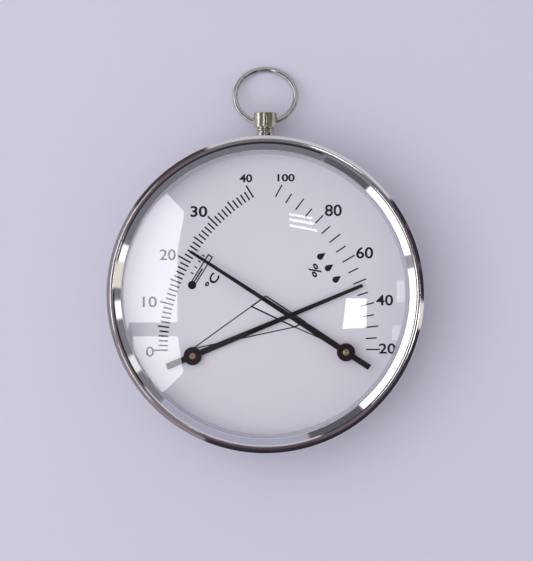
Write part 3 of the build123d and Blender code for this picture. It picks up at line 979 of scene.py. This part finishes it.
class HYGROMETER_OT_turn_spindles(bpy.types.Operator):
    """Turn the brass spindles with their dimpled ends"""

    bl_idname = "hygrometer.turn_spindles"
    bl_label = "Turn the spindles"

    def execute(self, context):
        sizes = context.scene.hygrometer.hands
        for system, hub in SYSTEMS:
            node = f"{system}_arbor"
            foot, tip = (corner.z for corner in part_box(node))
            body_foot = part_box(f"{system}_plate_bush")[1].z + 0.05 * MM
            shoulder_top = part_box(f"{system}_dial_bush")[0].z - 0.15 * MM
            shoulder_foot = shoulder_top - 0.6 * MM
            chamfer, dimple_depth = 0.2 * MM, 0.4 * MM
            piece = turn(
                [
                    (POLE, foot), (sizes.pivot, foot), (sizes.pivot, body_foot),
                    (sizes.spindle, body_foot), (sizes.spindle, shoulder_foot),
                    (sizes.shoulder, shoulder_foot), (sizes.shoulder, shoulder_top),
                    (sizes.spindle, shoulder_top), (sizes.spindle, tip - chamfer),
                    (sizes.spindle - chamfer, tip), (sizes.dimple, tip),
                    (POLE, tip - dimple_depth),
                ],
                sides=64, closed=False, poles=True,
            )
            round_ring(sizes.spindle - chamfer, tip, 0.05 * MM, 2)
            set_place(piece, placed(hub.x, hub.y))
            finish_piece(
                piece, f"{system}_spindle", "turned_brass", node, body=f"{system}_hand",
                finish=f"{system}_brass",
            )
        return {"FINISHED"}


def open_sheet():
    """An empty mesh, open for the marks that are added to it."""
    piece = begin("plane", size=1 * MM)
    bpy.ops.mesh.delete(type="VERT")
    return piece


def mark(start, end, width):
    """A printed stroke between two places on the dial, in metres."""
    run = Vector(end) - Vector(start)
    middle = (Vector(start) + Vector(end)) / 2
    bpy.ops.mesh.primitive_cube_add(
        size=1, location=(middle.x, middle.y, DIAL_TOP),
        scale=(run.length, width, 2 * bpy.context.scene.hygrometer.dial.ink),
        rotation=(0, 0, math.atan2(run.y, run.x)),
    )


def close_sheet(piece, name):
    face_out()
    finish_print(piece, name)


def finish_print(piece, name):
    finish_piece(piece, name, "hand_black", finish="print_ink")


class HYGROMETER_OT_print_scales(bpy.types.Operator):
    """Print the marks of the two scales"""

    bl_idname = "hygrometer.print_scales"
    bl_label = "Print the scales"

    # Middles of the scales in millimetres, and the turn of the temperature scale for one degree
    thermo_middle = (25.85, -17.78)
    hygro_middle = (-23.14, -17.55)
    turn_per_degree = 1.465
    # Humidity in per cent, and its direction in degrees
    known = ((20, 0.0), (45, 18.1), (60, 30.2), (75, 41.9), (90, 53.6), (100, 61.5))

    def arc(self, name, middle, radius, width, marks):
        """Marks of (angle in degrees, length in millimetres) outwards from a radius."""
        piece = open_sheet()
        for degrees, span in marks:
            way = Vector((math.cos(math.radians(degrees)), math.sin(math.radians(degrees))))
            start = Vector(middle) * MM + way * radius
            mark(start, start + way * (span * MM), width)
        close_sheet(piece, name)

    def direction(self, humidity):
        """Where a humidity lies on its scale, read between the known directions."""
        (h0, a0), (h1, a1) = next(
            pair for pair in zip(self.known, self.known[1:]) if humidity <= pair[1][0]
        )
        return a0 + (a1 - a0) * (humidity - h0) / (h1 - h0)

    def execute(self, context):
        sizes = context.scene.hygrometer.dial
        spans = {0: 4.45, 5: 3.65}
        self.arc(
            "thermo_marks", self.thermo_middle, sizes.thermo_radius, sizes.thermo_stroke,
            [(180 - self.turn_per_degree * t, spans.get(t % 10, 2.97)) for t in range(41)],
        )
        self.arc(
            "hygro_marks", self.hygro_middle, sizes.hygro_radius, sizes.hygro_stroke,
            [(self.direction(h), 3.5 if h % 10 else 4.4) for h in range(20, 101, 5)],
        )
        return {"FINISHED"}


class HYGROMETER_OT_print_numerals(bpy.types.Operator):
    """Print the numerals and the unit signs"""

    bl_idname = "hygrometer.print_numerals"
    bl_label = "Print the numerals"

    # Text, middle, width and height in millimetres, turn in degrees and stroke growth
    thermo = (
        ("0", -36.73, -18.25, 2.6, 3.2, 0, 0.012),
        ("10", -36.79, -2.40, 4.5, 3.5, 0, 0.012),
        ("20", -31.08, 12.59, 5.1, 3.5, 0, 0.012),
        ("30", -21.16, 26.34, 5.4, 3.5, 0, 0.022),
        ("40", -6.20, 36.93, 4.05, 2.6, 0, 0.03),
    )
    hygro = (
        ("100", 6.59, 37.09, 5.5, 2.4, 0, 0.03),
        ("80", 21.62, 26.72, 5.4, 3.7, 0, 0.018),
        ("60", 31.60, 13.23, 5.4, 3.65, 0, 0.018),
        ("40", 37.95, -1.86, 5.4, 3.45, 0, 0.018),
        ("20", 38.78, -17.27, 5.3, 3.3, 0, 0.018),
    )
    units = (
        ("°C", -16.9, 4.3, 5.0, 3.0, 59, 0.03),
        ("%", 15.8, 7.6, 4.0, 3.1, -57, 0.02),
    )

    def set_type(self, text, x, y, width, height, turned, growth, context):
        """One numeral as a thin raised mesh, middled on its place."""
        leave_nothing_selected()
        bpy.ops.object.text_add(location=(0, 0, 0))
        piece = context.object
        piece.data.body = text
        piece.data.offset = growth
        piece.data.resolution_u = 8
        bpy.ops.object.convert(target="MESH")
        piece = context.object
        corners = [vertex.co for vertex in piece.data.vertices]
        low = Vector(map(min, zip(*corners)))
        high = Vector(map(max, zip(*corners)))
        wide, tall = width * MM / (high.x - low.x), height * MM / (high.y - low.y)
        ink = context.scene.hygrometer.dial.ink
        set_place(
            piece,
            placed(x * MM, y * MM, DIAL_TOP - ink / 2, math.radians(turned))
            @ Matrix.Diagonal((wide, tall, 1, 1))
            @ Matrix.Translation(-(low + high) / 2),
        )
        edit()
        merge()
        extrude_up(1.5 * ink)
        face_out()
        bpy.ops.object.mode_set(mode="OBJECT")
        return piece

    def execute(self, context):
        for name, rows in (
            ("thermo_numerals", self.thermo), ("hygro_numerals", self.hygro),
            ("unit_signs", self.units),
        ):
            pieces = [self.set_type(*row, context) for row in rows]
            finish_print(join(pieces), name)
        return {"FINISHED"}


class HYGROMETER_OT_print_signs(bpy.types.Operator):
    """Print a small thermometer and a row of drops beside the scales"""

    bl_idname = "hygrometer.print_signs"
    bl_label = "Print the signs"

    def thermometer(self, ink):
        """A round bulb with a stem, a clear bore and four short marks."""
        bulb = flat_disc(40, 1.35 * MM, (-5.6 * MM, 0, DIAL_TOP - ink / 2))
        thicken(1.5 * ink)
        # Ends and width of each stroke in millimetres
        strokes = [((-4.5, side * 0.72), (5.4, side * 0.72), 0.4) for side in (-1, 1)]
        strokes += [((5.35, -0.92), (5.35, 0.92), 0.4), ((-4.5, 0), (0.6, 0), 0.5)]
        strokes += [((x, 1.5), (x, 2.5), 0.42) for x in (-2.4, -0.2, 2.0, 4.2)]
        for start, end, width in strokes:
            mark(Vector(start) * MM, Vector(end) * MM, width * MM)
        close_sheet(bulb, "thermometer_sign")
        self.put(bulb, -20.35, 7.7, 58)

    def drops(self, ink):
        """Three drops, each a disc drawn out to a point."""
        drops = []
        radius = 1.0 * MM
        for x in (-4.4, 0, 4.4):
            drops.append(flat_disc(36, radius, (0, 0, DIAL_TOP - ink / 2)))
            choose(lambda co: co.y > radius / 2 + NEAR and abs(co.x) > NEAR, "verts")
            bpy.ops.mesh.dissolve_verts()
            choose(lambda co: co.y > radius / 2 + NEAR, "verts")
            bpy.ops.transform.translate(value=(0, radius * 1.1, 0))
            select_all()
            bpy.ops.transform.translate(value=(x * MM, -0.5 * MM, 0))
            thicken(1.5 * ink)
        drop = join(drops)
        finish_print(drop, "drops_sign")
        self.put(drop, 20.3, 8.6, -56)

    def put(self, piece, x, y, turned):
        set_place(piece, placed(x * MM, y * MM, turned=math.radians(turned)))

    def execute(self, context):
        ink = context.scene.hygrometer.dial.ink
        self.thermometer(ink)
        self.drops(ink)
        return {"FINISHED"}


class HYGROMETER_OT_print_field(bpy.types.Operator):
    """Print the comfort field where the hands cross"""

    bl_idname = "hygrometer.print_field"
    bl_label = "Print the comfort field"

    def execute(self, context):
        sizes = context.scene.hygrometer.dial
        # Corners of the field and feet of its lines, in millimetres
        west, north, east, south = [
            Vector(corner) * MM
            for corner in ((-4.4, -3.84), (0.15, -0.55), (12.6, -8.75), (9.3, -10.4))
        ]
        left_foot, right_foot = Vector((-23.1, -17.3)) * MM, Vector((25.9, -17.6)) * MM
        paper = polygon([north, west, south, east], DIAL_TOP - sizes.ink / 2)
        thicken(sizes.ink)
        finish_piece(paper, "comfort_paper", "dial_enamel", finish="field_white")
        piece = open_sheet()
        for foot, side in ((left_foot, west), (right_foot, east)):
            mark(foot, side, sizes.fine_line)
            mark(foot, south, sizes.fine_line)
        corners = (west, north, east, south, west)
        for start, end in zip(corners, corners[1:]):
            mark(start, end, sizes.outline)
        close_sheet(piece, "comfort_field")
        return {"FINISHED"}


class HYGROMETER_OT_finish_movement(bpy.types.Operator):
    """Paint the CAD pieces that stay as they are"""

    bl_idname = "hygrometer.finish_movement"
    bl_label = "Finish the movement"

    def execute(self, context):
        slots = {part["node"]: part["material_slot"] for part in frame["record"]["subparts"]}
        for name, node in frame["nodes"].items():
            for slot in node.material_slots:
                slot.material = finish_of(slots[name])
        return {"FINISHED"}


class HYGROMETER_OT_set_stage(bpy.types.Operator):
    """Set the table, the window, the room and the camera"""

    bl_idname = "hygrometer.set_stage"
    bl_label = "Set the stage"

    # Azimuths and elevations in degrees, softness and colour of what the plate shows
    walls = (
        (-9, 369, 60, 99, 2.5, (0.135, 0.10, 0.12)),
        (37, 112, 60, 99, 4.0, (0.17, 0.165, 0.17)),
        (180, 247, 60, 99, 4.0, (0.21, 0.165, 0.185)),
        (247, 290, 60, 99, 4.0, (0.07, 0.045, 0.06)),
        (-9, 37, 20, 70, 1.0, (0.012, 0.010, 0.014)),
        (247, 369, 20, 70, 1.0, (0.012, 0.010, 0.014)),
        (-9, 46, 6, 20, 1.0, (0.20, 0.20, 0.22)),
        (247, 369, 6, 20, 1.0, (0.17, 0.17, 0.20)),
        (46, 107, 6, 20, 1.0, (0.42, 0.42, 0.52)),
        (112, 147, 20, 62, 1.0, (0.05, 0.035, 0.038)),
        (107, 131, 6, 20, 1.0, (0.10, 0.10, 0.12)),
        (147, 247, 26, 62, 1.5, (0.20, 0.18, 0.19)),
        (226, 247, 6, 26, 1.0, (0.10, 0.10, 0.12)),
        (131, 226, 6, 27, 0.6, (1.9, 1.9, 2.0)),
        (190.5, 196, 6, 27, 0.5, (0.35, 0.34, 0.38)),
        (347, 357, 4, 66, 0.7, (0.85, 0.80, 0.70)),
        (9, 11, 20, 60, 0.5, (0.12, 0.10, 0.09)),
        (24, 26, 20, 60, 0.5, (0.10, 0.06, 0.06)),
        (340, 347, 4, 18, 0.7, (1.3, 1.3, 1.3)),
        (2, 9, 4, 18, 0.7, (1.3, 1.3, 1.3)),
        (24, 31, 4, 16, 0.7, (0.9, 0.9, 0.9)),
        (150, 247, 40, 42, 0.7, (0.55, 0.48, 0.50)),
        (150, 247, 53, 55, 0.7, (0.70, 0.62, 0.65)),
    )

    # Brightness, and corners in millimetres at one metre, of the panes that the crystal shows
    panes = (
        ("upper_pane", 4.2, (
            (-237, 236), (-192, 187), (-207, 96), (-207, -73), (-348, -75), (-369, 74), (-337, 146),
        )),
        ("lower_pane", 4.2, ((-328, -108), (-207, -106), (-194, -192), (-252, -249), (-300, -202))),
        ("right_pane", 6.5, ((189, -16), (238, -17), (238, -87), (180, -87))),
        ("rim_pane", 2.2, ((312, 26), (334, 26), (334, -26), (312, -26))),
        ("low_rim_pane", 1.8, ((303, -81), (322, -81), (320, -117), (301, -117))),
        ("first_slat", 6.0, ((56, 183), (110, 174), (110, 169), (56, 178))),
        ("second_slat", 6.5, ((56, 171), (118, 161), (117, 155), (56, 165))),
        ("third_slat", 6.0, ((56, 157), (122, 145), (121, 140), (56, 152))),
    )

    window_size = 1.1
    window_place = (-0.5, 0.0, 1.0)
    lens = 122.7

    def plate_only(self, card, name, material):
        """Keeps a card to what shiny surfaces show."""
        bpy.ops.object.mode_set(mode="OBJECT")
        card.name = name
        card.data.name = name
        card.data.materials.append(material)
        card.visible_camera = False
        card.visible_diffuse = False
        card.visible_shadow = False

    def table(self, context):
        floor = begin("plane", size=6)
        bpy.ops.mesh.subdivide(number_cuts=3)
        bpy.ops.object.mode_set(mode="OBJECT")
        floor.name = "table_top"
        floor.data.materials.append(
            table_finish("table_top", context.scene.hygrometer.stage.floor)
        )

    def studio(self, context):
        """The room round the object: plain light, and the walls that the plate shows."""
        settings = context.scene.hygrometer.stage
        dome = begin("uv_sphere", segments=64, ring_count=32, radius=2.5)
        bpy.ops.mesh.bisect(plane_co=(0, 0, 0.01), plane_no=(0, 0, 1), clear_inner=True)
        walls = room_finish("studio_walls", settings.room, self.walls)
        self.plate_only(dome, "studio_walls", walls)
        for name, brightness, corners in self.panes:
            card = polygon([Vector(corner) * MM for corner in corners], 1.0)
            tint = (brightness, brightness, brightness * 1.03)
            self.plate_only(card, name, lit_finish(name, tint))
        world = bpy.data.worlds.new("room")
        context.scene.world = world
        world.use_nodes = True
        light = world.node_tree.nodes["Background"]
        light.inputs["Color"].default_value = (*settings.room, 1)
        light.inputs["Strength"].default_value = 1.0

    def window(self, context):
        """The broad window that lights the object from the left."""
        data = bpy.data.lights.new("window", "AREA")
        data.shape = "SQUARE"
        data.size = self.window_size
        data.energy = context.scene.hygrometer.stage.window * math.pi * data.size * data.size
        lamp = put_in_scene("window", data)
        lamp.location = self.window_place
        lamp.rotation_euler = (-lamp.location).to_track_quat("-Z", "Y").to_euler()
        lamp.visible_glossy = False
        lamp.visible_transmission = False

    def camera(self, context):
        settings = context.scene.hygrometer.stage
        data = bpy.data.cameras.new("camera")
        data.sensor_width = 36
        data.lens = self.lens
        data.clip_start = 0.01
        camera = put_in_scene("camera", data)
        camera.location = (settings.camera_x, settings.camera_y, settings.camera_height)
        context.scene.camera = camera

    def execute(self, context):
        self.table(context)
        self.studio(context)
        self.window(context)
        self.camera(context)
        context.scene.view_settings.view_transform = "Standard"
        return {"FINISHED"}


OPERATORS = (
    HYGROMETER_OT_finish_movement,
    HYGROMETER_OT_turn_bezel,
    HYGROMETER_OT_draw_case,
    HYGROMETER_OT_grind_crystal,
    HYGROMETER_OT_turn_reveal,
    HYGROMETER_OT_turn_neck,
    HYGROMETER_OT_bend_ring,
    HYGROMETER_OT_print_scales,
    HYGROMETER_OT_print_numerals,
    HYGROMETER_OT_print_signs,
    HYGROMETER_OT_print_field,
    HYGROMETER_OT_turn_spindles,
    HYGROMETER_OT_cut_hands,
    HYGROMETER_OT_turn_bosses,
    HYGROMETER_OT_set_stage,
)


class HYGROMETER_PT_bench(bpy.types.Panel):
    """The steps that build the instrument."""

    bl_idname = "HYGROMETER_PT_bench"
    bl_label = "Dial hygrometer"
    bl_space_type = "VIEW_3D"
    bl_region_type = "UI"
    bl_category = "Hygrometer"

    def draw(self, context):
        for operator in OPERATORS:
            self.layout.operator(operator.bl_idname)


GROUPS = (
    BezelSizes, CrystalSizes, DialSizes, HandSizes, HangerSizes, FinishColours, StageSettings,
    HygrometerSettings,
)


def register():
    for kind in GROUPS + OPERATORS + (HYGROMETER_PT_bench,):
        bpy.utils.register_class(kind)
    bpy.types.Scene.hygrometer = bpy.props.PointerProperty(type=HygrometerSettings)


def unregister():
    del bpy.types.Scene.hygrometer
    for kind in reversed(GROUPS + OPERATORS + (HYGROMETER_PT_bench,)):
        bpy.utils.unregister_class(kind)


def plain(box):
    return [[float(value) for value in corner] for corner in box]


def main():
    register()
    for operator in OPERATORS:
        group, name = operator.bl_idname.split(".")
        getattr(getattr(bpy.ops, group), name)()
    leave_nothing_selected()


if __name__ == "__main__":
    main()
